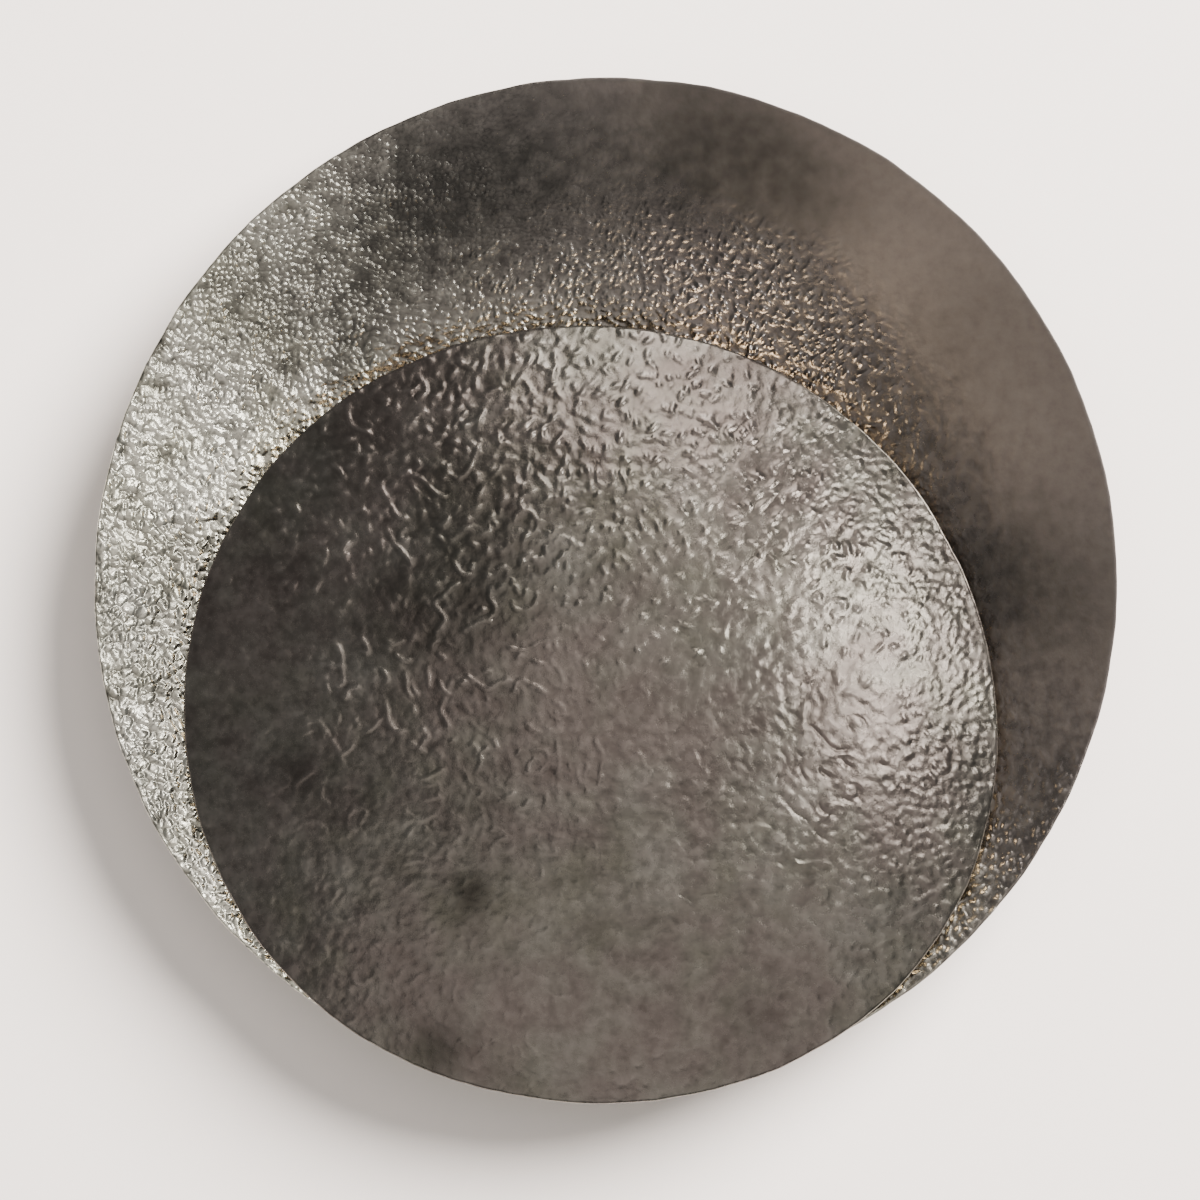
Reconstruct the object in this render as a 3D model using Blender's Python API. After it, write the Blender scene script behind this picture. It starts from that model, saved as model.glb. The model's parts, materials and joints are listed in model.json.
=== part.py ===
import bpy
import bmesh
import math
from mathutils import Matrix, Vector

# Wall light of two overlapping hammered metal plates.
# +X is right and +Z is up for someone facing the light, and the wall is the plane Y = 0.
# "out" is the distance in front of the wall, so a point's Y is minus its out.
# The driving sizes are in millimetres.

mm = 0.001
gap = 0.3
brazeGap = 0.45

backRadius = 229.85
backWobble = ((1, 2.18, 108.0), (2, 1.2, 36.0))
backThick = 1.8
seatRadius = 62.0
seatOut = 27.3
dishDepth = 24.0
dishPower = 1.8

frontRadius = 180.0
frontWobble = ((1, 1.4, -96.0), (2, 4.65, -29.0), (3, 1.07, -103.0), (4, 0.89, -153.0))
frontCentre = (-7.2, -56.2)
frontThick = 1.8
frontRimOut = 58.0
domeHeight = 24.0
domePower = 2.2

plateSegments = 72
plateRings = 12

wallPlateRadius = 55.0
wallPlateThick = 2.0
wallSlotZ = 44.0
wallSlotLength = 16.0
wallSlotHalfWidth = 2.6
cableHoleZ = 24.0
cableHoleRadius = 10.0

canopyRadius = 64.0
canopyThick = 1.2
canopyFront = 25.2

studX = 36.0
studRadius = 2.5
studEnd = 35.5
studHoleRadius = 2.8

leadHoleZ = 24.0
leadHoleRadius = 7.0
leadBoreRadius = 4.5

postAngles = (25.0, 155.0, 270.0)
postCircle = 92.0
postNames = ("right", "left", "lower")
postRadius = 7.0
postFootRadius = 10.0
postBoreRadius = 4.15
pegRadius = 4.0
postEnd = 62.0
pegTip = 44.0
postBoreFloor = 42.0
lockOut = 54.0
lockHoleRadius = 1.6
lockRadius = 1.45

bracketHalfWidth = 25.0
bracketThick = 1.5
bracketFootLow = -13.0
shelfTop = 13.0
shelfOut = 60.0
bracketScrewX = 14.0
bracketScrewZ = -3.0

holderInner = 6.0
holderOuter = 26.0
holderSize = 16.0
lampOut = 50.0
lampZ = shelfTop + gap + holderSize / 2
holderScrewX = 11.0
pinSpread = 4.5
pinRadius = 0.9
pinReach = 8.7

blockHalfWidth = 15.0
blockZ = -23.0
blockDepth = 18.0
blockBack = 2.3
blockFront = 13.8
poleX = 9.0
poleOut = 7.5
poleRadius = 2.2
blockScrewX = 4.5
earthX = -36.0
earthZ = -24.0


def clearScene():
    for thing in list(bpy.data.objects):
        bpy.data.objects.remove(thing, do_unlink=True)


def makeMaterial(name, colour, metallic, roughness):
    material = bpy.data.materials.new(name)
    material.use_nodes = True
    shader = material.node_tree.nodes["Principled BSDF"]
    shader.inputs["Base Color"].default_value = (colour[0], colour[1], colour[2], 1.0)
    shader.inputs["Metallic"].default_value = metallic
    shader.inputs["Roughness"].default_value = roughness
    return material


def point(x, out, z):
    return Vector((x * mm, -out * mm, z * mm))


def markSharp(mesh, degrees=32.0):
    # Smooth across shallow folds, with a crisp line wherever two faces turn sharply.
    work = bmesh.new()
    work.from_mesh(mesh)
    for face in work.faces:
        face.smooth = True
    for edge in work.edges:
        edge.smooth = edge.calc_face_angle(0.0) < math.radians(degrees)
    work.to_mesh(mesh)
    work.free()


def finishMesh(name, work, material, origin, parent=None):
    bmesh.ops.recalc_face_normals(work, faces=work.faces)
    mesh = bpy.data.meshes.new(name)
    for vertex in work.verts:
        vertex.co = vertex.co - origin
    work.to_mesh(mesh)
    work.free()
    mesh.materials.append(material)
    markSharp(mesh)
    thing = bpy.data.objects.new(name, mesh)
    bpy.context.scene.collection.objects.link(thing)
    thing.location = origin
    if parent is not None:
        thing.parent = parent
        thing.matrix_parent_inverse = Matrix.Translation(-parent.location)
    return thing


def hexRadius(flat, angle):
    # Distance to a hexagon's side in this direction, where flat is half its width across flats.
    turn = (angle + math.pi / 6) % (math.pi / 3) - math.pi / 6
    return flat / math.cos(turn)


def turned(name, profile, origin, direction, material, segments=24, parent=None, surface=None, phase=0.0):
    # A profile of (radius, height) turned about a line. A third value "hex" makes that ring a
    # hexagon, and a height of None puts that ring on the given surface. The phase turns its seams.
    axis = direction.normalized()
    side = axis.orthogonal().normalized()
    if abs(axis.z) < 0.5:
        side = Vector((0.0, 0.0, 1.0)).cross(axis).normalized()
    other = axis.cross(side)
    work = bmesh.new()
    rings = []
    for entry in profile:
        radius = entry[0]
        height = entry[1]
        isHex = len(entry) > 2
        ring = []
        count = 1 if radius == 0.0 else segments
        for step in range(count):
            angle = 2 * math.pi * step / segments
            reach = hexRadius(radius, angle) if isHex else radius
            across = side * math.cos(angle + phase) + other * math.sin(angle + phase)
            spot = origin + across * reach * mm
            if height is None:
                spot.y = -surface(spot.x / mm, spot.z / mm) * mm
            else:
                spot = spot + axis * height * mm
            ring.append(work.verts.new(spot))
        rings.append(ring)
    closedLoop = len(rings[0]) > 1 and len(rings[-1]) > 1
    total = len(rings) if closedLoop else len(rings) - 1
    for index in range(total):
        joinRings(work, rings[index], rings[(index + 1) % len(rings)], segments)
    return finishMesh(name, work, material, origin, parent)


def joinRings(work, first, second, segments):
    for step in range(segments):
        after = (step + 1) % segments
        if len(first) == 1:
            work.faces.new((first[0], second[step], second[after]))
        elif len(second) == 1:
            work.faces.new((first[step], first[after], second[0]))
        else:
            work.faces.new((first[step], first[after], second[after], second[step]))


def block(name, low, high, material, bevel=0.0, parent=None):
    # A box between two corners given as (x, out, z), with its edges rounded off.
    a = point(*low)
    b = point(*high)
    centre = (a + b) / 2
    size = Vector((abs(b.x - a.x), abs(b.y - a.y), abs(b.z - a.z)))
    work = bmesh.new()
    made = bmesh.ops.create_cube(work, size=1.0)
    for vertex in made["verts"]:
        vertex.co = centre + Vector((vertex.co.x * size.x, vertex.co.y * size.y, vertex.co.z * size.z))
    if bevel > 0.0:
        bmesh.ops.bevel(work, geom=work.edges[:], offset=bevel * mm, segments=2, profile=0.5,
                        affect="EDGES", clamp_overlap=True)
    return finishMesh(name, work, material, centre, parent)


def rodCutter(start, end, radius, segments=24):
    direction = end - start
    profile = ((0.0, 0.0), (radius, 0.0), (radius, direction.length / mm), (0.0, direction.length / mm))
    return turned("cutter", profile, start, direction, None, segments, phase=0.11)


def cut(target, cutters):
    # Takes each cutter's shape out of the target and leaves only the cut mesh.
    for cutter in cutters:
        cutter.hide_render = True
        cutter.display_type = "WIRE"
        modifier = target.modifiers.new("cut", "BOOLEAN")
        modifier.operation = "DIFFERENCE"
        modifier.solver = "EXACT"
        modifier.object = cutter
    bpy.context.view_layer.update()
    graph = bpy.context.evaluated_depsgraph_get()
    result = bpy.data.meshes.new_from_object(target.evaluated_get(graph))
    target.modifiers.clear()
    material = target.data.materials[0]
    target.data = result
    result.materials.clear()
    result.materials.append(material)
    markSharp(result)
    for cutter in cutters:
        bpy.data.objects.remove(cutter, do_unlink=True)


def alongOut(x, z, low, high, radius):
    return rodCutter(point(x, low, z), point(x, high, z), radius)


def outlineRadius(nominal, wobble, angle):
    # A beaten plate is never a true circle: a few slow waves move its edge by a few millimetres.
    radius = nominal
    for order, size, phase in wobble:
        radius += size * math.cos(order * angle - math.radians(phase))
    return radius


def backSurface(x, z):
    # The hollow side of the large plate: a flat seat, then a dish that deepens to the rim.
    reach = math.hypot(x, z)
    rise = max(0.0, (reach - seatRadius) / (backRadius - seatRadius))
    return seatOut + dishDepth * rise ** dishPower


def frontSurface(x, z):
    # The domed outer side of the small plate.
    reach = math.hypot(x - frontCentre[0], z - frontCentre[1])
    return frontRimOut + domeHeight * (1.0 - (reach / frontRadius) ** domePower)


def plate(name, centre, radius, wobble, surface, thick, fractions, material, parent=None):
    # A thin dished sheet: a wheel of rings on each face, joined round the rim.
    work = bmesh.new()
    sides = []
    for offset in (0.0, -thick):
        rings = []
        for fraction in fractions:
            ring = []
            count = 1 if fraction == 0.0 else plateSegments
            for step in range(count):
                angle = 2 * math.pi * step / plateSegments
                reach = fraction * outlineRadius(radius, wobble, angle)
                x = centre[0] + reach * math.cos(angle)
                z = centre[1] + reach * math.sin(angle)
                ring.append(work.verts.new(point(x, surface(x, z) + offset, z)))
            rings.append(ring)
        sides.append(rings)
    for rings in sides:
        for index in range(len(rings) - 1):
            joinRings(work, rings[index], rings[index + 1], plateSegments)
    joinRings(work, sides[0][-1], sides[1][-1], plateSegments)
    origin = point(centre[0], surface(centre[0], centre[1]), centre[1])
    return finishMesh(name, work, material, origin, parent)


def smoothPath(points, stepsEach=3):
    # A Catmull-Rom curve through the points.
    ends = [points[0] * 2 - points[1]] + list(points) + [points[-1] * 2 - points[-2]]
    path = []
    for index in range(1, len(ends) - 2):
        a, b, c, d = ends[index - 1], ends[index], ends[index + 1], ends[index + 2]
        for step in range(stepsEach):
            t = step / stepsEach
            path.append(0.5 * (2 * b + (c - a) * t + (2 * a - 5 * b + 4 * c - d) * t * t
                               + (3 * b - a - 3 * c + d) * t * t * t))
    path.append(points[-1].copy())
    return path


def wire(name, points, radius, material, sides=8):
    path = smoothPath([point(*spot) for spot in points])
    work = bmesh.new()
    rings = []
    side = Vector((0.31, 0.52, 0.79))
    for index, spot in enumerate(path):
        before = path[max(0, index - 1)]
        after = path[min(len(path) - 1, index + 1)]
        forward = (after - before).normalized()
        side = (side - forward * side.dot(forward)).normalized()
        other = forward.cross(side)
        ring = []
        for step in range(sides):
            angle = 2 * math.pi * step / sides
            ring.append(work.verts.new(spot + (side * math.cos(angle) + other * math.sin(angle)) * radius * mm))
        rings.append(ring)
    for index in range(len(rings) - 1):
        joinRings(work, rings[index], rings[index + 1], sides)
    work.faces.new(rings[0])
    work.faces.new(rings[-1])
    return finishMesh(name, work, material, path[0].copy())


def screwProfile(radius, tip, under, headRadius, headTop, socket, socketDepth):
    # Shank from tip to under the head, then a rounded head with a hexagonal socket.
    return ((0.0, tip), (radius, tip), (radius, under), (headRadius, under),
            (headRadius, headTop - 0.3 * (headTop - under)), (headRadius * 0.8, headTop),
            (socket, headTop, "hex"), (socket, headTop - socketDepth, "hex"), (0.0, headTop - socketDepth))


def nutProfile(bore, flat, low, high):
    return ((bore, low), (flat, low, "hex"), (flat, high, "hex"), (bore, high))


def ringProfile(bore, radius, low, high):
    return ((bore, low), (radius, low), (radius, high), (bore, high))


def makeWallMount(look):
    towards = Vector((0.0, -1.0, 0.0))
    origin = point(0.0, 0.0, 0.0)
    edge = 0.4
    profile = ((0.0, 0.0), (wallPlateRadius, 0.0), (wallPlateRadius, wallPlateThick - edge),
               (wallPlateRadius - edge, wallPlateThick), (0.0, wallPlateThick))
    plateDisc = turned("wall_plate", profile, origin, towards, look["zinc"], 48)
    cutters = [alongOut(0.0, cableHoleZ, -1.0, 4.0, cableHoleRadius)]
    cutters.append(alongOut(earthX, earthZ, -1.0, 4.0, 2.2))
    cutters.append(alongOut(blockScrewX, blockZ, -1.0, 4.0, 1.6))
    for z in (-wallSlotZ, wallSlotZ):
        half = wallSlotLength / 2 - wallSlotHalfWidth
        slot = block("cutter", (-half, -1.0, z - wallSlotHalfWidth), (half, 4.0, z + wallSlotHalfWidth), None)
        cutters.append(slot)
        for x in (-half, half):
            cutters.append(alongOut(x, z, -1.0, 4.0, wallSlotHalfWidth))
    cut(plateDisc, cutters)
    top = wallPlateThick
    grommet = ((6.0, gap), (9.7, gap), (9.7, top + gap), (12.5, top + gap), (12.5, top + 1.6),
               (11.9, top + 2.2), (6.6, top + 2.2), (6.0, top + 1.6))
    turned("cable_grommet", grommet, point(0.0, 0.0, cableHoleZ), towards, look["rubber"])
    for name, side in (("left", -1), ("right", 1)):
        profile = ((0.0, top + gap), (3.4, top + gap), (3.4, top + 1.0), (studRadius, top + 1.0),
                   (studRadius, studEnd - 0.6), (studRadius - 0.6, studEnd), (0.0, studEnd))
        turned("weld_stud_" + name, profile, point(side * studX, 0.0, 0.0), towards, look["zinc"], 16)


def makeTerminals(look):
    towards = Vector((0.0, -1.0, 0.0))
    low = blockZ - blockDepth / 2
    high = blockZ + blockDepth / 2
    strip = block("terminal_block", (-blockHalfWidth, blockBack, low), (blockHalfWidth, blockFront, high),
                  look["nylon"], 0.8)
    cutters = [alongOut(blockScrewX, blockZ, 0.0, 20.0, 1.6)]
    for x in (-poleX, 0.0, poleX):
        cutters.append(rodCutter(point(x, poleOut, low - 2.0), point(x, poleOut, high + 2.0), poleRadius, 16))
        cutters.append(alongOut(x, blockZ, poleOut, 20.0, 1.9))
    cut(strip, cutters)
    for index, x in enumerate((-poleX, 0.0, poleX)):
        profile = ((0.0, 10.0), (1.7, 10.0), (1.7, 13.2), (0.8, 13.2, "hex"), (0.8, 12.2, "hex"), (0.0, 12.2))
        turned("terminal_screw_" + str(index + 1), profile, point(x, 0.0, blockZ), towards, look["brass"], 12)
    fix = screwProfile(1.4, gap, blockFront + gap, 2.7, blockFront + 2.2, 1.1, 1.2)
    turned("block_screw", fix, point(blockScrewX, 0.0, blockZ), towards, look["zinc"], 12)
    ring = ringProfile(2.2, 4.4, 2.3, 3.2)
    turned("earth_ring", ring, point(earthX, 0.0, earthZ), towards, look["brass"], 16)
    earth = screwProfile(1.95, gap, 3.5, 3.8, 5.9, 1.4, 1.4)
    turned("earth_screw", earth, point(earthX, 0.0, earthZ), towards, look["zinc"], 12)
    top = high - 5.0
    path = ((0.0, poleOut, top), (0.0, poleOut, high + 1.5), (-1.0, 11.0, high + 6.0), (-7.0, 17.8, high + 8.0),
            (-17.0, 18.0, high + 4.0), (-27.0, 11.0, high - 4.0), (-31.8, 5.0, earthZ + 3.2))
    wire("earth_wire", path, 0.85, look["earth"])


def makeCanopy(look):
    towards = Vector((0.0, -1.0, 0.0))
    inner = canopyRadius - canopyThick
    back = canopyFront - canopyThick
    profile = ((0.0, canopyFront), (canopyRadius - 3.2, canopyFront), (canopyRadius - 0.9, canopyFront - 0.9),
               (canopyRadius, canopyFront - 3.2), (canopyRadius, 0.5), (inner, 0.5), (inner, back - 2.2),
               (inner - 0.6, back - 0.6), (inner - 2.2, back), (0.0, back))
    cup = turned("canopy", profile, point(0.0, 0.0, 0.0), towards, look["darkMetal"], 48)
    cutters = [alongOut(0.0, leadHoleZ, 20.0, 30.0, leadHoleRadius)]
    for side in (-1, 1):
        cutters.append(alongOut(side * studX, 0.0, 20.0, 30.0, studHoleRadius))
        cutters.append(alongOut(side * bracketScrewX, bracketScrewZ, 20.0, 30.0, 2.2))
    cut(cup, cutters)


def makeBackPlate(look):
    fractions = [0.0, 0.10, 0.18, 0.262]
    for step in range(1, plateRings - 3):
        fractions.append(0.27 + 0.715 * step / (plateRings - 4))
    fractions.append(1.0)
    sheet = plate("back_plate", (0.0, 0.0), backRadius, backWobble, backSurface, backThick, fractions,
                  look["silverBronze"])
    cutters = [alongOut(0.0, leadHoleZ, 20.0, 32.0, leadHoleRadius)]
    for side in (-1, 1):
        cutters.append(alongOut(side * studX, 0.0, 20.0, 32.0, studHoleRadius))
        cutters.append(alongOut(side * bracketScrewX, bracketScrewZ, 20.0, 32.0, 2.2))
    cut(sheet, cutters)
    towards = Vector((0.0, -1.0, 0.0))
    bush = ((leadBoreRadius, 23.4), (6.7, 23.4), (6.7, seatOut + gap), (9.0, seatOut + gap),
            (9.0, seatOut + 1.4), (8.4, seatOut + 1.9), (5.1, seatOut + 1.9), (leadBoreRadius, seatOut + 1.4))
    turned("lead_grommet", bush, point(0.0, 0.0, leadHoleZ), towards, look["rubber"])
    for name, side in (("left", -1), ("right", 1)):
        spot = point(side * studX, 0.0, 0.0)
        low = seatOut + gap
        turned("washer_" + name, ringProfile(studHoleRadius, 6.0, low, low + 1.0), spot, towards, look["brass"])
        base = low + 1.0 + gap
        nut = ((0.0, base + 7.2), (2.65, base + 7.2), (2.65, base), (3.9, base, "hex"), (3.9, base + 3.6, "hex"),
               (3.7, base + 4.0), (3.5, base + 6.2), (2.7, base + 8.2), (1.4, base + 9.2), (0.0, base + 9.5))
        turned("cap_nut_" + name, nut, spot, towards, look["brass"])


def makeBracket(look):
    # Foot against the large plate and a shelf standing forward, folded from one strip.
    foot = seatOut + gap
    corners = ((foot, bracketFootLow), (foot + bracketThick, bracketFootLow),
               (foot + bracketThick, shelfTop - bracketThick - 1.0),
               (foot + bracketThick + 1.0, shelfTop - bracketThick), (shelfOut, shelfTop - bracketThick),
               (shelfOut, shelfTop), (foot + 1.6, shelfTop), (foot + 0.5, shelfTop - 0.5), (foot, shelfTop - 1.6))
    work = bmesh.new()
    ends = []
    for x in (-bracketHalfWidth, bracketHalfWidth):
        ends.append([work.verts.new(point(x, out, z)) for out, z in corners])
    joinRings(work, ends[0], ends[1], len(corners))
    work.faces.new(ends[0])
    work.faces.new(ends[1])
    shelf = finishMesh("lamp_bracket", work, look["zinc"], point(0.0, foot, 0.0))
    cutters = []
    for side in (-1, 1):
        cutters.append(alongOut(side * bracketScrewX, bracketScrewZ, 20.0, 35.0, 2.2))
        x = side * holderScrewX
        cutters.append(rodCutter(point(x, lampOut, 5.0), point(x, lampOut, 20.0), 1.7))
    cut(shelf, cutters)
    towards = Vector((0.0, -1.0, 0.0))
    for name, side in (("left", -1), ("right", 1)):
        spot = point(side * bracketScrewX, 0.0, bracketScrewZ)
        under = foot + bracketThick + gap
        screw = screwProfile(1.95, 18.5, under, 3.8, under + 2.6, 1.5, 1.6)
        turned("bracket_screw_" + name, screw, spot, towards, look["zinc"], 18)
        high = canopyFront - canopyThick - gap
        turned("bracket_nut_" + name, nutProfile(2.05, 3.5, high - 3.2, high), spot, towards, look["zinc"])


def makeHolder(look, name, side):
    low = (side * holderInner, lampOut - holderSize / 2, shelfTop + gap)
    high = (side * holderOuter, lampOut + holderSize / 2, shelfTop + gap + holderSize)
    body = block("lamp_holder_" + name, low, high, look["ceramic"], 1.4)
    x = side * holderScrewX
    cutters = [rodCutter(point(x, lampOut, 5.0), point(x, lampOut, 40.0), 1.7)]
    cutters.append(rodCutter(point(x, lampOut, high[2] - 4.0), point(x, lampOut, 40.0), 3.3))
    for shift in (-pinSpread, pinSpread):
        start = point(side * (holderOuter - pinReach - 0.9), lampOut + shift, lampZ)
        end = point(side * (holderOuter + 2.0), lampOut + shift, lampZ)
        cutters.append(rodCutter(start, end, 1.3, 16))
    cut(body, cutters)
    up = Vector((0.0, 0.0, 1.0))
    seat = high[2] - 4.0 + gap
    screw = screwProfile(1.45, 6.4, seat, 2.8, seat + 2.4, 1.2, 1.3)
    turned("holder_screw_" + name, screw, point(x, lampOut, 0.0), up, look["zinc"], 16)
    nutTop = shelfTop - bracketThick - gap
    turned("holder_nut_" + name, nutProfile(1.55, 2.75, nutTop - 2.4, nutTop), point(x, lampOut, 0.0), up,
           look["zinc"])


def makeLamp(look, name, side):
    # A capsule lamp that plugs sideways into its holder on two pins.
    axis = Vector((side, 0.0, 0.0))
    origin = point(side * (holderOuter + gap), lampOut, lampZ)
    root = bpy.data.objects.new("lamp_" + name + "_axis", None)
    bpy.context.scene.collection.objects.link(root)
    root.location = origin
    base = ((0.0, 0.0), (6.5, 0.0), (7.2, 0.7), (7.2, 12.0), (6.6, 12.0), (6.6, 14.6), (0.0, 14.6))
    body = turned("lamp_base_" + name, base, origin, axis, look["ceramic"], 24, root)
    cutters = []
    for shift in (-pinSpread, pinSpread):
        start = point(side * (holderOuter - 1.0), lampOut + shift, lampZ)
        end = point(side * (holderOuter + gap + 3.3), lampOut + shift, lampZ)
        cutters.append(rodCutter(start, end, 1.1, 16))
    cut(body, cutters)
    glass = ((0.0, 48.6), (4.5, 47.3), (6.8, 44.2), (7.6, 40.0), (7.6, 12.3), (6.9, 12.3), (6.9, 39.8),
             (6.2, 43.5), (4.1, 46.5), (0.0, 47.8))
    turned("lamp_glass_" + name, glass, origin, axis, look["frosted"], 24, root)
    core = ((0.0, 14.9), (3.4, 14.9), (3.4, 38.6), (2.8, 39.4), (0.0, 39.4))
    turned("lamp_core_" + name, core, origin, axis, look["core"], 16, root)
    for shift, label in ((-pinSpread, "rear"), (pinSpread, "front")):
        spot = point(side * (holderOuter + gap), lampOut + shift, lampZ)
        pin = ((0.0, -pinReach), (0.5, -pinReach), (pinRadius, 0.5 - pinReach), (pinRadius, 3.0), (0.0, 3.0))
        turned("lamp_pin_" + name + "_" + label, pin, spot, axis, look["zinc"], 12, root)


def makeLeads(look):
    # Each holder's two sleeved wires, from its inner end, through the bush, to the terminal block.
    start = holderInner - gap
    top = blockZ + blockDepth / 2
    end = top - 5.0
    pole = poleOut
    upper = leadHoleZ + 1.3
    lower = leadHoleZ - 1.3
    routes = {
        "lead_line_left": ((-start, 53.5, lampZ), (-3.0, 53.2, 22.4), (-1.3, 49.0, upper), (-1.3, 38.0, upper),
                           (-1.3, 24.0, upper), (-1.2, 16.0, 22.5), (1.6, 11.5, 14.0), (7.0, 9.0, 0.0),
                           (poleX - 1.1, pole, -8.0), (poleX - 1.1, pole, end)),
        "lead_line_right": ((start, 53.5, lampZ), (3.0, 53.2, 22.4), (1.3, 49.0, upper), (1.3, 38.0, upper),
                            (1.3, 24.0, upper), (1.9, 16.0, 22.5), (5.2, 11.5, 14.0), (9.6, 9.0, 0.0),
                            (poleX + 1.1, pole, -8.0), (poleX + 1.1, pole, end)),
        "lead_neutral_left": ((-start, 46.5, lampZ), (-3.4, 46.0, 21.6), (-1.3, 42.0, lower), (-1.3, 36.0, lower),
                              (-1.3, 24.0, lower), (-2.6, 19.6, 18.5), (-7.2, 13.5, 8.0), (-10.1, 9.5, -3.0),
                              (-poleX - 1.1, pole, -9.0), (-poleX - 1.1, pole, end)),
        "lead_neutral_right": ((start, 46.5, lampZ), (3.4, 46.0, 21.6), (1.3, 42.0, lower), (1.3, 36.0, lower),
                               (1.3, 24.0, lower), (0.4, 19.8, 18.5), (-4.2, 14.0, 8.0), (-7.5, 9.5, -3.0),
                               (-poleX + 1.1, pole, -9.0), (-poleX + 1.1, pole, end)),
    }
    for name, path in routes.items():
        wire(name, path, 0.8, look["sleeve"])


def makePosts(look, plateRoot):
    # Sockets brazed to the large plate, pegs brazed inside the small one, and a grub screw in each
    # socket that locks its peg.
    towards = Vector((0.0, -1.0, 0.0))

    def onBack(x, z):
        return backSurface(x, z) + brazeGap

    def underFront(x, z):
        return frontSurface(x, z) - frontThick - brazeGap

    for name, degrees in zip(postNames, postAngles):
        angle = math.radians(degrees)
        x = frontCentre[0] + postCircle * math.cos(angle)
        z = frontCentre[1] + postCircle * math.sin(angle)
        footTop = backSurface(x, z) + 5.0
        socket = ((0.0, None), (postFootRadius, None), (postFootRadius, footTop), (postRadius, footTop + 2.0),
                  (postRadius, postEnd - 0.6), (postRadius - 0.6, postEnd), (postBoreRadius + 0.4, postEnd),
                  (postBoreRadius, postEnd - 0.4), (postBoreRadius, postBoreFloor), (0.0, postBoreFloor))
        body = turned("plate_socket_" + name, socket, point(x, 0.0, z), towards, look["zinc"], 20, None, onBack)
        outward = Vector((math.cos(angle), 0.0, math.sin(angle)))
        spot = point(x, lockOut, z)
        cut(body, [rodCutter(spot + outward * 2.0 * mm, spot + outward * 12.0 * mm, lockHoleRadius)])
        lock = ((0.0, pegRadius + 0.25), (lockRadius, pegRadius + 0.25), (lockRadius, postRadius + 1.6),
                (0.8, postRadius + 1.6, "hex"), (0.8, postRadius + 0.4, "hex"), (0.0, postRadius + 0.4))
        turned("grub_screw_" + name, lock, spot, outward, look["steel"], 12)
        peg = ((0.0, pegTip), (pegRadius - 0.8, pegTip), (pegRadius, pegTip + 0.8), (pegRadius, None), (0.0, None))
        turned("plate_peg_" + name, peg, point(x, 0.0, z), towards, look["brass"], 20, plateRoot, underFront)


def makeFrontPlate(look):
    # The small plate pulls straight forward, so its empty stands on that line.
    root = bpy.data.objects.new("front_plate_axis", None)
    bpy.context.scene.collection.objects.link(root)
    root.location = point(frontCentre[0], 0.0, frontCentre[1])
    fractions = []
    for step in range(plateRings + 1):
        fractions.append(math.sin(0.5 * math.pi * step / plateRings))
    plate("front_plate", frontCentre, frontRadius, frontWobble, frontSurface, frontThick, fractions,
          look["taupeBronze"], root)
    return root


def main():
    clearScene()
    look = {
        "silverBronze": makeMaterial("silver_bronze_hammered", (0.42, 0.40, 0.34), 1.0, 0.42),
        "taupeBronze": makeMaterial("taupe_bronze_hammered", (0.27, 0.24, 0.20), 1.0, 0.46),
        "darkMetal": makeMaterial("dark_enamelled_steel", (0.05, 0.047, 0.043), 0.0, 0.5),
        "zinc": makeMaterial("zinc_plated_steel", (0.55, 0.55, 0.53), 1.0, 0.38),
        "steel": makeMaterial("black_steel", (0.04, 0.04, 0.04), 1.0, 0.4),
        "brass": makeMaterial("brass", (0.66, 0.46, 0.17), 1.0, 0.35),
        "rubber": makeMaterial("black_rubber", (0.02, 0.02, 0.02), 0.0, 0.7),
        "nylon": makeMaterial("white_nylon", (0.78, 0.77, 0.72), 0.0, 0.45),
        "ceramic": makeMaterial("glazed_steatite", (0.82, 0.80, 0.74), 0.0, 0.35),
        "frosted": makeMaterial("frosted_glass", (0.95, 0.90, 0.78), 0.0, 0.35),
        "core": makeMaterial("lamp_core", (0.95, 0.75, 0.40), 0.0, 0.5),
        "sleeve": makeMaterial("white_silicone_sleeve", (0.80, 0.78, 0.72), 0.0, 0.55),
        "earth": makeMaterial("green_wire", (0.18, 0.42, 0.08), 0.0, 0.45),
    }
    makeWallMount(look)
    makeTerminals(look)
    makeCanopy(look)
    makeBackPlate(look)
    makeBracket(look)
    for name, side in (("left", -1), ("right", 1)):
        makeHolder(look, name, side)
        makeLamp(look, name, side)
    makeLeads(look)
    root = makeFrontPlate(look)
    makePosts(look, root)


main()
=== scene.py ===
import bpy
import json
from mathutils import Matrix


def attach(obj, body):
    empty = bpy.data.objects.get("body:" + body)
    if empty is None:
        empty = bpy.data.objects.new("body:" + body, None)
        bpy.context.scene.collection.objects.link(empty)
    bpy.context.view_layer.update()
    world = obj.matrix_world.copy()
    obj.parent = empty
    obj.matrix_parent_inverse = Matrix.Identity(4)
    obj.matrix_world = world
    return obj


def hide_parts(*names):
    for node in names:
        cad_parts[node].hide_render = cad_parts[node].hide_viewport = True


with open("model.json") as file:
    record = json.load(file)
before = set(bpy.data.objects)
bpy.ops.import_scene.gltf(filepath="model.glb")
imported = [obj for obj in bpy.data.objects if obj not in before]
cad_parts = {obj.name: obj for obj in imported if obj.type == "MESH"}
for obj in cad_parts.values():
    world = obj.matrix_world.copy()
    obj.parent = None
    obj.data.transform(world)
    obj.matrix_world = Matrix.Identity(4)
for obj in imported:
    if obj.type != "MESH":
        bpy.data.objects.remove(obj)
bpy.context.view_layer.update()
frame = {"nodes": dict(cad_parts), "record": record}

import json
import math
import bpy
import numpy as np
from mathutils import Vector

mm = 0.001
print("scene: frame loaded,", len(frame["nodes"]), "nodes")


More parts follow.
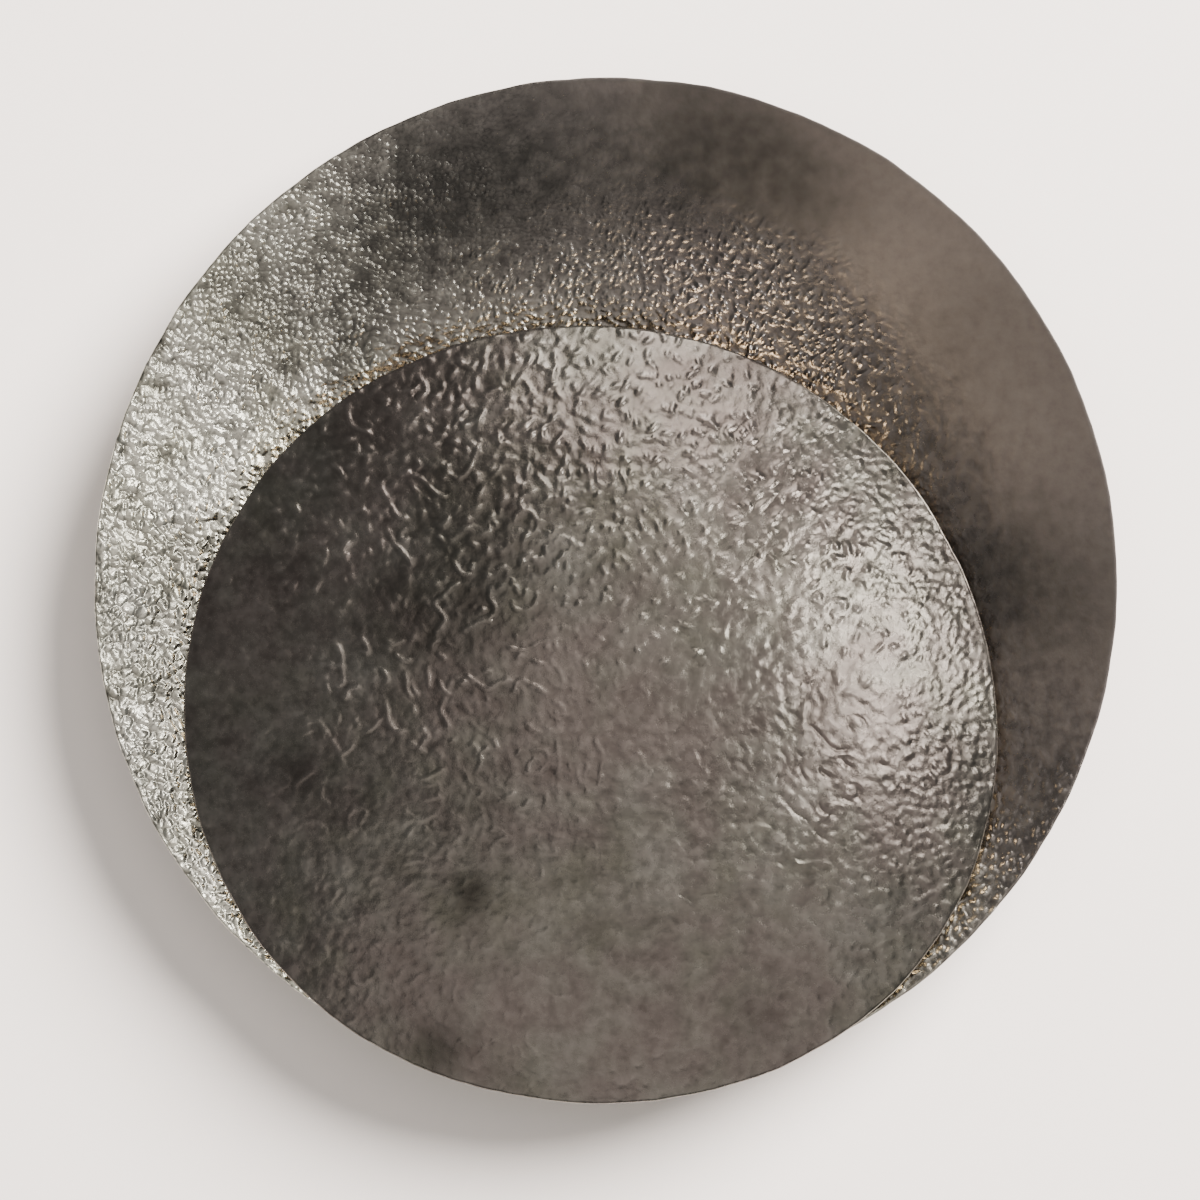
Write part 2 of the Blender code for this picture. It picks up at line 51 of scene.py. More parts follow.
def srgb(code):
    # A hex colour as Blender's linear numbers.
    parts = [int(code[i:i + 2], 16) / 255 for i in (0, 2, 4)]
    linear = [p / 12.92 if p <= 0.04045 else ((p + 0.055) / 1.055) ** 2.4 for p in parts]
    return (linear[0], linear[1], linear[2], 1.0)


def addNode(tree, kind, settings=None, links=None):
    # One node: settings by property or socket name, colour stops, and links by socket name.
    node = tree.nodes.new(kind)
    for key, value in (settings or {}).items():
        if key == "stops":
            elements = node.color_ramp.elements
            while len(elements) < len(value):
                elements.new(0.5)
            for element, (position, colour) in zip(elements, value):
                element.position = position
                element.color = colour
        elif isinstance(key, int) or key in node.inputs:
            node.inputs[key].default_value = value
        else:
            setattr(node, key, value)
    for key, source in (links or {}).items():
        tree.links.new(source, node.inputs[key])
    return node


def newMaterial(name):
    material = bpy.data.materials.new(name)
    material.use_nodes = True
    tree = material.node_tree
    tree.nodes.clear()
    shader = addNode(tree, "ShaderNodeBsdfPrincipled")
    addNode(tree, "ShaderNodeOutputMaterial", links={"Surface": shader.outputs["BSDF"]})
    return material, tree, shader


# The relief tools work on arrays of x and z in millimetres. A seed picks one pattern out of many.

def scatter(ix, iz, seed):
    # A steady number from 0 to 1 for each whole-numbered cell, with no order to the eye.
    n = ix.astype(np.int64) * 374761393 + iz.astype(np.int64) * 668265263 + seed * 974634777
    n = n & 0xFFFFFFFF
    n = ((n ^ (n >> 13)) * 1274126177) & 0xFFFFFFFF
    n = ((n ^ (n >> 16)) * 668265263) & 0xFFFFFFFF
    return ((n ^ (n >> 15)) & 0xFFFFFF) / 16777215.0


def swell(x, z, scale, seed):
    # Gradient noise from about -1 to 1, with waves about this many millimetres long.
    u = x / scale + 37.7
    v = z / scale + 91.3
    iu = np.floor(u)
    iv = np.floor(v)
    fu = u - iu
    fv = v - iv
    total = 0.0
    for du in (0, 1):
        for dv in (0, 1):
            turn = scatter(iu + du, iv + dv, seed) * 2 * np.pi
            slope = np.cos(turn) * (fu - du) + np.sin(turn) * (fv - dv)
            tu = np.abs(fu - du)
            tv = np.abs(fv - dv)
            fadeU = 1 - tu ** 3 * (tu * (tu * 6 - 15) + 10)
            fadeV = 1 - tv ** 3 * (tv * (tv * 6 - 15) + 10)
            total = total + slope * (fadeU * fadeV)
    return total * 1.5


def layered(x, z, scale, seed, layers):
    # Slow noise with finer and weaker noise on top of it.
    total = 0.0
    size = 1.0
    for layer in range(layers):
        total = total + swell(x, z, scale / 2 ** layer, seed + 11 * layer) * size
        size *= 0.5
    return total / 1.6


def pebbles(x, z, spacing, seed):
    # Rounded beaten marks packed side by side: 1 at each middle, 0 where two meet.
    u = x / spacing
    v = z / spacing
    iu = np.floor(u)
    iv = np.floor(v)
    near = np.full(u.shape, 9.0)
    second = np.full(u.shape, 9.0)
    for du in (-1, 0, 1):
        for dv in (-1, 0, 1):
            cu = iu + du
            cv = iv + dv
            px = cu + 0.5 + (scatter(cu, cv, seed) - 0.5) * 0.9
            pz = cv + 0.5 + (scatter(cu, cv, seed + 5) - 0.5) * 0.9
            away = np.hypot(u - px, v - pz)
            second = np.where(away < near, near, np.minimum(second, away))
            near = np.minimum(near, away)
    return 1 - (near / np.maximum(second, 1e-6)) ** 2


def grains(x, z, spacing, seed, size, chance, lean, spread):
    # Separate raised grains like rice, of half this length and width, each turned its own way about
    # the lean given. The chance says how many of the places have a grain.
    length, width = size
    u = x / spacing
    v = z / spacing
    iu = np.floor(u)
    iv = np.floor(v)
    height = np.zeros(u.shape)
    for du in (-1, 0, 1):
        for dv in (-1, 0, 1):
            cu = iu + du
            cv = iv + dv
            px = (cu + 0.5 + (scatter(cu, cv, seed) - 0.5) * 0.95) * spacing
            pz = (cv + 0.5 + (scatter(cu, cv, seed + 1) - 0.5) * 0.95) * spacing
            turn = lean + (scatter(cu, cv, seed + 2) - 0.5) * spread
            growth = 0.55 + 0.75 * scatter(cu, cv, seed + 3)
            there = np.clip((chance - scatter(cu, cv, seed + 4)) * 6, 0, 1)
            along = (x - px) * np.cos(turn) + (z - pz) * np.sin(turn)
            across = -(x - px) * np.sin(turn) + (z - pz) * np.cos(turn)
            across = across + 0.05 * along ** 2 * (scatter(cu, cv, seed + 6) - 0.5)
            mark = np.exp(-(along / (length * growth)) ** 2 - (across / width) ** 2)
            mark = mark * there * (0.5 + 0.5 * growth)
            height = np.maximum(height, mark)
    return height


def creases(x, z, scale, seed, width):
    # Long thin wandering ridges: the zero line of a slow noise, kept to one width.
    step = 0.25
    level = swell(x, z, scale, seed)
    slopeX = swell(x + step, z, scale, seed) - level
    slopeZ = swell(x, z + step, scale, seed) - level
    slope = np.hypot(slopeX, slopeZ) / step
    return np.exp(-(level / np.maximum(slope, 0.25 / scale) / width) ** 2)


def smooth(low, high, value):
    # From 0 at low to 1 at high, easing in and out.
    t = np.clip((value - low) / (high - low), 0, 1)
    return t * t * (3 - 2 * t)


# Both plates, in millimetres. x is across, z is up, and out is the distance from the wall. Waves
# give the edge's order, size and angle; the dark clouds, partly patina and partly painted shade, give
# x, z, reach and strength; the hammer marks give spacing and depth, and the grains half their length
# and width.
backPlate = {
    "centre": (0.0, 0.0),
    "radius": 229.85,
    "waves": ((1, 2.18, 108.0), (2, 1.2, 36.0)),
    "thick": 1.8,
    "seatRadius": 62.0,     # flat middle, against the canopy
    "seatOut": 27.3,
    "depth": 24.0,
    "power": 1.8,
    "fineFrom": 98.0,       # everything nearer the middle is hidden behind the small plate
    "fineStep": 0.64,
    "coarseStep": 3.6,
    "scaleSpacing": 4.0,    # scaly marks at the left
    "fineScales": 2.7,      # and towards the top, where they are finer
    "scaleDepth": 1.2,
    "grainSpacing": 3.7,    # separate raised grains in the arc over the small plate
    "grainSize": (1.35, 0.85),
    "fineSpacing": 2.9,     # the finer ones at the arc's left end
    "fineSize": (1.15, 0.8),
    "grainDepth": 0.78,
    "crumple": (4.6, 0.42),     # small uneven marks
    "dents": (16.0, 0.46),      # wide ones under them
    "folds": (10.0, 0.26),      # soft ridges
    "creases": (26.0, 0.22),    # a few long thin lines
    "beatenZone": (-150.0, 115.0),  # from smooth at the upper right to beaten at the lower left
    "silverZone": (-150.0, 110.0),  # and from brown to silvered the same way
    "highZone": (-10.0, 130.0),     # how high the scaly marks start and end turning finer
    "arcZone": (198.0, 145.0),      # radii where the raised grains start and where they're full
    "lowRightZone": (190.0, 220.0), # the same towards the lower right
    "calmZone": (150.0, 205.0),     # radii where the duller metal of the upper right starts and ends
    "flatZone": (66.0, 80.0),       # unbeaten inside the first radius
    "worn": "e2e1d6",       # silvered tops
    "hollow": "57554e",
    "brown": "87817e",      # where the silvering has gone and brown bronze shows
    "brownHollow": "6c6664",
    # the dark patina colour, also laid on by the clouds as painted shade
    "patina": "3b3a38",
    "roughness": 0.19,      # where it is beaten and silvered
    "matte": 0.36,          # how much rougher it gets where it is brown and calm
    # blots of the patina colour: partly real patina, partly painted shade that darkens the top, the right
    # and the upper right of the dish
    "shadeAndPatinaClouds": ((-44.0, 192.0, 60.0, 0.8), (-98.0, 170.0, 42.0, 0.5), (50.0, 200.0, 46.0, 0.76),
                   (10.0, 150.0, 44.0, 0.15), (92.0, 112.0, 34.0, 0.45), (130.0, 64.0, 42.0, 0.6),
                   (166.0, 10.0, 40.0, 0.5), (204.0, -10.0, 44.0, 0.5), (200.0, -90.0, 36.0, 0.3),
                   (-158.0, 132.0, 44.0, 0.5), (-112.0, 104.0, 34.0, 0.5),
                   (-205.0, -20.0, 60.0, 0.32), (-185.0, -110.0, 60.0, 0.2),
                   (160.0, 120.0, 44.0, 0.25), (92.0, 176.0, 30.0, 0.45)),
    # x, z and radius: the wires' bush, the two wall studs and the bracket's two screws
    "holes": ((0.0, 24.0, 7.0), (36.0, 0.0, 2.8), (-36.0, 0.0, 2.8),
              (14.0, -3.0, 2.2), (-14.0, -3.0, 2.2)),
    "holeSides": 40,
    "holeReach": 8.0,
}

frontPlate = {
    "centre": (-7.2, -56.2),
    "radius": 180.0,
    "waves": ((1, 1.4, -96.0), (2, 4.65, -29.0), (3, 1.07, -103.0), (4, 0.89, -153.0)),
    "thick": 1.8,
    "rimOut": 58.0,
    "rise": 24.0,
    "power": 2.2,
    "fineFrom": 0.0,
    "fineStep": 0.95,
    "coarseStep": 0.95,
    "riceSpacing": 6.3,     # raised grains of the upper half
    "riceSize": (2.2, 1.15),
    "riceDepth": 0.45,
    "crumbSpacing": 4.9,    # smaller ones between them
    "crumbSize": (1.15, 0.95),
    "crumbDepth": 0.30,
    "beadSpacing": 3.4,     # round ones along the right edge
    "beadSize": (1.05, 0.9),
    "beadDepth": 0.30,
    "lowSpacing": 3.1,      # faint ones of the lower half
    "lowSize": (1.3, 0.75),
    "lowDepth": 0.13,
    "worms": (19.0, 0.50),  # long ridges at the left
    "torn": (15.0, 0.55),   # torn creases at the right
    "tornAt": (106.0, -27.0, 26.0),
    "ripples": (12.0, 0.16),        # faint lines of the lower half
    "upperZone": (-5.0, 85.0),      # how high over its centre the raised grains start and are full
    "crownZone": (60.0, 160.0),     # the same for the smaller ones
    "edgeZone": (130.0, 152.0),     # radii where the round ones start and are full
    "posts": ((76.2, -17.3), (-90.6, -17.3), (-7.2, -148.2)),   # the pegs behind it
    "postClear": 13.0,      # how far round each peg both plates are left unbeaten
    "hiddenMargin": 7.0,    # further in than this the mesh of the large plate is coarser
    "worn": "96928b",
    "hollow": "6b6963",
    "brown": "847c77",
    "brownHollow": "5c5551",
    # the dark patina colour, also laid on by the clouds as painted shade
    "patina": "36332f",
    "roughness": 0.20,
    "matte": 0.02,
    # blots of the patina colour: mostly real patches of patina; the last two are painted shade that
    # narrows the key light's highlight
    "shadeAndPatinaClouds": ((-64.0, -8.0, 26.0, 0.5), (-58.0, 30.0, 26.0, 0.4), (-72.0, 60.0, 24.0, 0.35),
                   (-96.0, -20.0, 24.0, 0.35), (-62.0, -138.0, 10.0, 0.8),
                   (-64.0, -96.0, 20.0, 0.2), (20.0, -150.0, 9.0, 0.25), (-76.0, -208.0, 14.0, 0.6),
                   (-142.0, -81.0, 10.0, 0.45), (-120.0, 66.0, 20.0, 0.4), (-20.0, 38.0, 12.0, 0.3),
                   (-34.0, 58.0, 9.0, 0.35), (64.0, -190.0, 16.0, 0.25), (8.0, -96.0, 10.0, 0.15),
                   (168.0, -82.0, 22.0, 0.35), (70.0, -48.0, 34.0, 0.25)),
}


def outline(plate, angle):
    # The beaten edge: slow waves, and small nicks from the hammer.
    radius = plate["radius"]
    for order, size, phase in plate["waves"]:
        radius = radius + size * np.cos(order * angle - math.radians(phase))
    x = np.cos(angle) * plate["radius"]
    z = np.sin(angle) * plate["radius"]
    return radius + 0.45 * swell(x, z, 26.0, 71) + 0.16 * swell(x, z, 8.0, 72)


def backDish(x, z):
    p = backPlate
    rise = np.maximum(0.0, (np.hypot(x, z) - p["seatRadius"]) / (p["radius"] - p["seatRadius"]))
    return p["seatOut"] + p["depth"] * rise ** p["power"]


def frontDome(x, z):
    p = frontPlate
    reach = np.hypot(x - p["centre"][0], z - p["centre"][1])
    return p["rimOut"] + p["rise"] * (1.0 - (reach / p["radius"]) ** p["power"])


def clouds(x, z, places):
    # Soft blots of the darker patina colour, broken up by noise: partly real patina, partly painted
    # shade.
    amount = np.zeros(x.shape)
    wx = x + 5.0 * swell(x, z, 24.0, 81) + 2.5 * swell(x, z, 7.0, 82)
    wz = z + 5.0 * swell(x, z, 24.0, 83) + 2.5 * swell(x, z, 7.0, 84)
    for across, up, reach, strength in places:
        amount = amount + strength * np.exp(-((wx - across) ** 2 + (wz - up) ** 2) / reach ** 2)
    return np.clip(amount * (1.0 + 0.25 * layered(x, z, 9.0, 85, 3)), 0.0, 1.0)


def awayFromPosts(x, z):
    # 0 at the three posts and 1 away from them.
    away = np.full(x.shape, 999.0)
    for across, up in frontPlate["posts"]:
        away = np.minimum(away, np.hypot(x - across, z - up))
    return smooth(frontPlate["postClear"] * 0.7, frontPlate["postClear"], away)


def backRelief(x, z):
    # Scaly marks towards the left, finer towards the top; almost smooth at the upper right; raised
    # grains in an arc over the small plate and at the lower right, where the lamps catch them.
    p = backPlate
    crumpleMm, crumpleDepth = p["crumple"]
    dentMm, dentDepth = p["dents"]
    foldMm, foldDepth = p["folds"]
    creaseMm, creaseDepth = p["creases"]
    wx = x + 0.9 * swell(x, z, 5.0, 21) + 2.6 * swell(x, z, 24.0, 22)
    wz = z + 0.9 * swell(x, z, 5.0, 23) + 2.6 * swell(x, z, 24.0, 24)
    reach = np.hypot(x, z)

    # where each kind of mark is, from 0 to 1
    toLeft = -0.8 * x - 0.55 * z
    beaten = smooth(*p["beatenZone"], toLeft + 30.0 * layered(x, z, 60.0, 25, 2))
    lowRight = smooth(*p["lowRightZone"], 0.7 * x - 0.75 * z + 8.0 * swell(x, z, 18.0, 28))
    arc = smooth(*p["arcZone"], reach + 12.0 * swell(x, z, 40.0, 26))
    arc = arc * (0.6 + 0.4 * smooth(-110.0, 10.0, x)) * (0.4 + 0.6 * smooth(45.0, 100.0, z))
    arc = np.maximum(arc * (1.0 - 0.6 * smooth(95.0, 150.0, x)), 0.7 * lowRight)
    toRight = smooth(-20.0, 50.0, x + 12.0 * swell(x, z, 30.0, 97))
    high = smooth(*p["highZone"], z + 20.0 * swell(x, z, 30.0, 19))
    patch = smooth(-0.5, 0.5, layered(x, z, 38.0, 34, 3))

    # the marks
    scaly = pebbles(wx, wz, p["scaleSpacing"], 31) * (1.0 - high)
    scaly = scaly + 0.75 * pebbles(wx, wz, p["fineScales"], 20) * high
    scaly = scaly * (0.6 + 0.5 * swell(x, z, 11.0, 33))
    lean = 0.9 + swell(x, z, 45.0, 29)
    raised = grains(wx, wz, p["grainSpacing"], 32, p["grainSize"], 0.9, lean, 1.6)
    lean = 0.5 + swell(x, z, 45.0, 30)
    finer = grains(wx, wz, p["fineSpacing"], 40, p["fineSize"], 0.92, lean, 2.0)
    raised = np.maximum(raised * (0.25 + 0.75 * toRight), 0.8 * finer * (1.0 - 0.6 * toRight))
    crumple = crumpleDepth * layered(x, z, crumpleMm, 35, 3)
    folds = 1.0 - 1.7 * np.abs(swell(wx, wz, foldMm, 98))
    dents = dentDepth * layered(x, z, dentMm, 39, 2) + foldDepth * folds * (1.0 - arc)
    lines = creaseDepth * creases(wx, wz, creaseMm, 37, 0.9)
    lines = lines * smooth(0.1, 0.5, swell(x, z, 20.0, 38))

    height = scaly * (0.05 + p["scaleDepth"] * beaten * (1.0 - 0.8 * arc))
    height = height + p["grainDepth"] * raised * arc * (0.7 + 0.3 * patch)
    height = height + crumple * (0.12 + 0.88 * beaten) * (1.0 - 0.75 * arc)
    height = height + dents * beaten ** 2
    height = height + (0.2 + 0.25 * beaten) * layered(x, z, 70.0, 36, 3)
    height = height + lines * beaten
    height = height * smooth(*p["flatZone"], reach) * awayFromPosts(x, z)

    # silvering, a calmer and duller upper right, patina rubbed off the tops of the marks, and dark blots
    # that are partly painted shade
    silver = smooth(*p["silverZone"], toLeft + 45.0 * layered(x, z, 48.0, 27, 3))
    calm = smooth(70.0, 200.0, -toLeft) * smooth(*p["calmZone"], reach) * (1.0 - arc)
    calm = calm - 0.08 * arc + 0.03 * beaten
    patina = clouds(x, z, p["shadeAndPatinaClouds"])
    patina = patina * (1.0 + (0.3 - 0.9 * np.clip(scaly, 0.0, 1.0)) * beaten)
    return height, patch, silver, calm, np.clip(patina, 0.0, 1.0)


def frontRelief(x, z):
    # Raised grains, crowded at the top and upper right and faint in the lower half; long worm-like
    # ridges at the middle left; a soft mottle everywhere; a few torn creases at the right.
    p = frontPlate
    wormMm, wormDepth = p["worms"]
    tornMm, tornDepth = p["torn"]
    rippleMm, rippleDepth = p["ripples"]
    u = x - p["centre"][0]
    v = z - p["centre"][1]
    wx = x + 0.9 * swell(x, z, 9.0, 41)
    wz = z + 0.9 * swell(x, z, 9.0, 42)

    # where each kind of mark is, from 0 to 1
    upper = smooth(*p["upperZone"], v + 0.12 * u + 24.0 * layered(x, z, 50.0, 43, 2))
    crown = smooth(*p["crownZone"], v + 0.2 * u)
    edgeRight = smooth(*p["edgeZone"], np.hypot(u, v) + 8.0 * swell(x, z, 30.0, 96))
    edgeRight = edgeRight * smooth(50.0, 120.0, u) * smooth(-105.0, -45.0, v)
    leftish = smooth(20.0, -50.0, u) * smooth(-95.0, -10.0, v) * smooth(-165.0, -110.0, u)
    dense = np.maximum(upper, 0.8 * edgeRight)
    tornU, tornV, tornReach = p["tornAt"]
    tornHere = np.exp(-((u - tornU) ** 2 + (v - tornV) ** 2) / tornReach ** 2)

    # the marks
    lean = 0.9 * swell(x, z, 60.0, 44) + 0.2
    chance = (0.10 + 0.78 * dense) * (1.0 - edgeRight) * (1.0 - 0.3 * leftish)
    rice = grains(wx, wz, p["riceSpacing"], 51, p["riceSize"], chance, lean + 0.7, 2.6)
    chance = 0.10 + 0.26 * np.maximum(upper, crown)
    crumbs = grains(x, z, p["crumbSpacing"], 61, p["crumbSize"], chance, lean, 3.0)
    beads = grains(wx, wz, p["beadSpacing"], 95, p["beadSize"], 0.95 * edgeRight, lean, 3.0)
    low = grains(wx, wz, p["lowSpacing"], 103, p["lowSize"], 0.5, lean, 3.0)
    low = low * (1.0 - dense) * smooth(-0.3, 0.4, swell(x, z, 30.0, 104))
    worms = creases(wx, wz, wormMm, 47, 0.8) * smooth(0.05, 0.3, swell(x, z, 15.0, 48))
    branches = creases(wx, wz, 13.0, 93, 0.8) * smooth(0.15, 0.35, swell(x, z, 9.0, 94))
    worms = np.maximum(worms, branches) * leftish
    torn = creases(wx, wz, tornMm, 91, 0.7) * tornHere * smooth(-0.1, 0.2, swell(x, z, 12.0, 92))
    ripples = creases(wx, wz, rippleMm, 101, 0.9) * smooth(0.0, 0.35, swell(x, z, 11.0, 102))
    ripples = ripples * (1.0 - upper)
    pimples = 0.10 * np.abs(swell(wx, wz, 7.0, 99)) * (1.0 - upper)

    height = p["riceDepth"] * rice * (0.5 + 0.5 * dense)
    height = height + p["crumbDepth"] * crumbs + p["beadDepth"] * beads
    height = height + wormDepth * worms - tornDepth * torn + rippleDepth * ripples
    height = height + p["lowDepth"] * low
    height = height + 0.17 * layered(x, z, 4.2, 53, 2) + pimples
    height = height + 0.16 * layered(x, z, 13.0, 56, 2)
    height = height + (0.24 + 0.24 * upper) * layered(x, z, 46.0, 54, 2)

    # blotches of brown, silvering, patina rubbed off the tops of the marks, and dark blots that are
    # partly painted shade
    patch = smooth(-0.55, 0.55, layered(x, z, 52.0, 55, 4))
    silver = smooth(-0.5, 0.6, layered(x, z, 75.0, 57, 3) + 0.35 * swell(x, z, 14.0, 58))
    calm = 1.0 - upper
    patina = clouds(x, z, p["shadeAndPatinaClouds"]) * (1.1 - 0.6 * np.clip(rice + worms, 0.0, 1.0))
    return height, patch, silver, calm, np.clip(patina, 0.0, 1.0)


def hiddenBehindFront(x, z):
    # True where the small plate hides the large one from the front.
    u = x - frontPlate["centre"][0]
    v = z - frontPlate["centre"][1]
    return np.hypot(u, v) < outline(frontPlate, np.arctan2(v, u)) - frontPlate["hiddenMargin"]


sheet = {
    "edgeSteps": 5,         # round the rolled edge
    "edgeStep": 1.5,        # and along it
    "reverseStep": 4.2,
    "reverseRelief": 0.7,   # how much of the hammering shows through
}


def ringPoints(plate, fraction, step, hidden):
    # Angles round one ring, close together where it shows and far apart where it's hidden.
    radius = max(plate["radius"] * fraction, 1.0)
    count = max(12, int(2 * math.pi * radius / step))
    angles = np.arange(count) * 2 * math.pi / count
    if hidden is not None and count > 60:
        reach = fraction * outline(plate, angles)
        far = hidden(plate["centre"][0] + reach * np.cos(angles),
                     plate["centre"][1] + reach * np.sin(angles))
        keep = ~far | (np.arange(count) % 4 == 0)
        angles = angles[keep]
    return angles


def stitch(faces, innerStart, inner, outerStart, outer):
    # Triangles between two rings of any number of points, each ring sorted by angle.
    i = 0
    j = 0
    full = 2 * math.pi
    while i < len(inner) or j < len(outer):
        nextInner = inner[i + 1] if i + 1 < len(inner) else full + inner[0]
        nextOuter = outer[j + 1] if j + 1 < len(outer) else full + outer[0]
        a = innerStart + i % len(inner)
        b = outerStart + j % len(outer)
        if j >= len(outer) or (i < len(inner) and nextInner <= nextOuter):
            c = innerStart + (i + 1) % len(inner)
            i += 1
        else:
            c = outerStart + (j + 1) % len(outer)
            j += 1
        faces.append((a, b, c))


def buildPlate(name, plate, surface, relief, hidden):
    # The seen face, a rounded edge, and the reverse, as one closed beaten sheet.
    half = plate["thick"] / 2
    rings = []
    reach = 0.0
    last = plate["radius"] - half
    while reach < last - 0.3 * plate["fineStep"]:
        step = plate["fineStep"] if reach >= plate["fineFrom"] else plate["coarseStep"]
        rings.append(("face", reach / plate["radius"], 0.0, step))
        reach += step
    for turn in range(sheet["edgeSteps"] + 1):
        angle = math.pi * turn / sheet["edgeSteps"]
        inward = half - half * math.sin(angle)
        sink = half - half * math.cos(angle)
        rings.append(("edge", 1.0 - inward / plate["radius"], sink, sheet["edgeStep"]))
    reach = last - sheet["edgeStep"]
    while reach > 0.0:
        rings.append(("back", reach / plate["radius"], plate["thick"], sheet["reverseStep"]))
        reach -= sheet["reverseStep"]
    rings.append(("back", 0.0, plate["thick"], sheet["reverseStep"]))
    xs, zs, sinks, backs, loops = [], [], [], [], []
    start = 0
    for kind, fraction, sink, step in rings:
        fine = kind == "face" and fraction * plate["radius"] >= plate["fineFrom"]
        hide = hidden if fine else None
        angles = np.array([0.0]) if fraction == 0.0 else ringPoints(plate, fraction, step, hide)
        radius = fraction * outline(plate, angles)
        xs.append(plate["centre"][0] + radius * np.cos(angles))
        zs.append(plate["centre"][1] + radius * np.sin(angles))
        sinks.append(np.full(len(angles), sink))
        backs.append(np.full(len(angles), 1.0 if kind == "back" else 0.0))
        loops.append((start, angles))
        start += len(angles)
    x = np.concatenate(xs)
    z = np.concatenate(zs)
    sink = np.concatenate(sinks)
    reverse = np.concatenate(backs)
    height, patch, silver, calm, patina = relief(x, z)
    through = sheet["reverseRelief"] * awayFromPosts(x, z)
    out = surface(x, z) - sink + height * (1 - reverse + reverse * through)
    faces = []
    for index in range(len(loops) - 1):
        stitch(faces, *loops[index], *loops[index + 1])
    mesh = bpy.data.meshes.new(name)
    points = np.stack([x * mm, -out * mm, z * mm], axis=1)
    mesh.from_pydata(points.tolist(), [], faces)
    mesh.validate()
    mesh.update()
    mesh.polygons.foreach_set("use_smooth", [True] * len(mesh.polygons))
    marks = {"height": height, "patch": patch, "silver": silver, "calm": calm, "patina": patina}
    for label, values in marks.items():
        layer = mesh.attributes.new(label, "FLOAT", "POINT")
        layer.data.foreach_set("value", values.astype(np.float32))
    piece = bpy.data.objects.new(name, mesh)
    bpy.context.scene.collection.objects.link(piece)
    return piece


def pierce(piece, plate):
    # The lead hole, the stud holes and the bracket's screw holes, cut right through.
    sides = plate["holeSides"]
    points = []
    faces = []
    for across, up, radius in plate["holes"]:
        first = len(points)
        for depth in (plate["seatOut"] - plate["holeReach"], plate["seatOut"] + plate["holeReach"]):
            for k in range(sides):
                turn = 2 * math.pi * (k + 0.37) / sides
                points.append(((across + radius * math.cos(turn)) * mm, -depth * mm,
                               (up + radius * math.sin(turn)) * mm))
        faces.append([first + k for k in range(sides)])
        faces.append([first + 2 * sides - 1 - k for k in range(sides)])
        for k in range(sides):
            after = (k + 1) % sides
            faces.append([first + after, first + k, first + sides + k, first + sides + after])
    mesh = bpy.data.meshes.new("holes")
    mesh.from_pydata(points, [], faces)
    cutter = bpy.data.objects.new("holes", mesh)
    bpy.context.scene.collection.objects.link(cutter)
    cut = piece.modifiers.new("holes", "BOOLEAN")
    cut.operation = "DIFFERENCE"
    cut.solver = "MANIFOLD"
    cut.object = cutter
    bpy.context.view_layer.update()
    whole = piece.evaluated_get(bpy.context.evaluated_depsgraph_get())
    piece.data = bpy.data.meshes.new_from_object(whole)
    piece.data.materials.clear()
    piece.modifiers.clear()
    bpy.data.objects.remove(cutter)


metalMarks = {
    "pitMm": 1.1,       # pitting, drawn coarser than the real one, which is too fine to show
    "pitDepth": 0.12,
    "mottleMm": 5.5,    # blotches left by the patina
    "mottleDepth": 0.4,
    "cloudMm": 34.0,    # slow changes of colour
    "cloudTint": "c8c8bc",
}


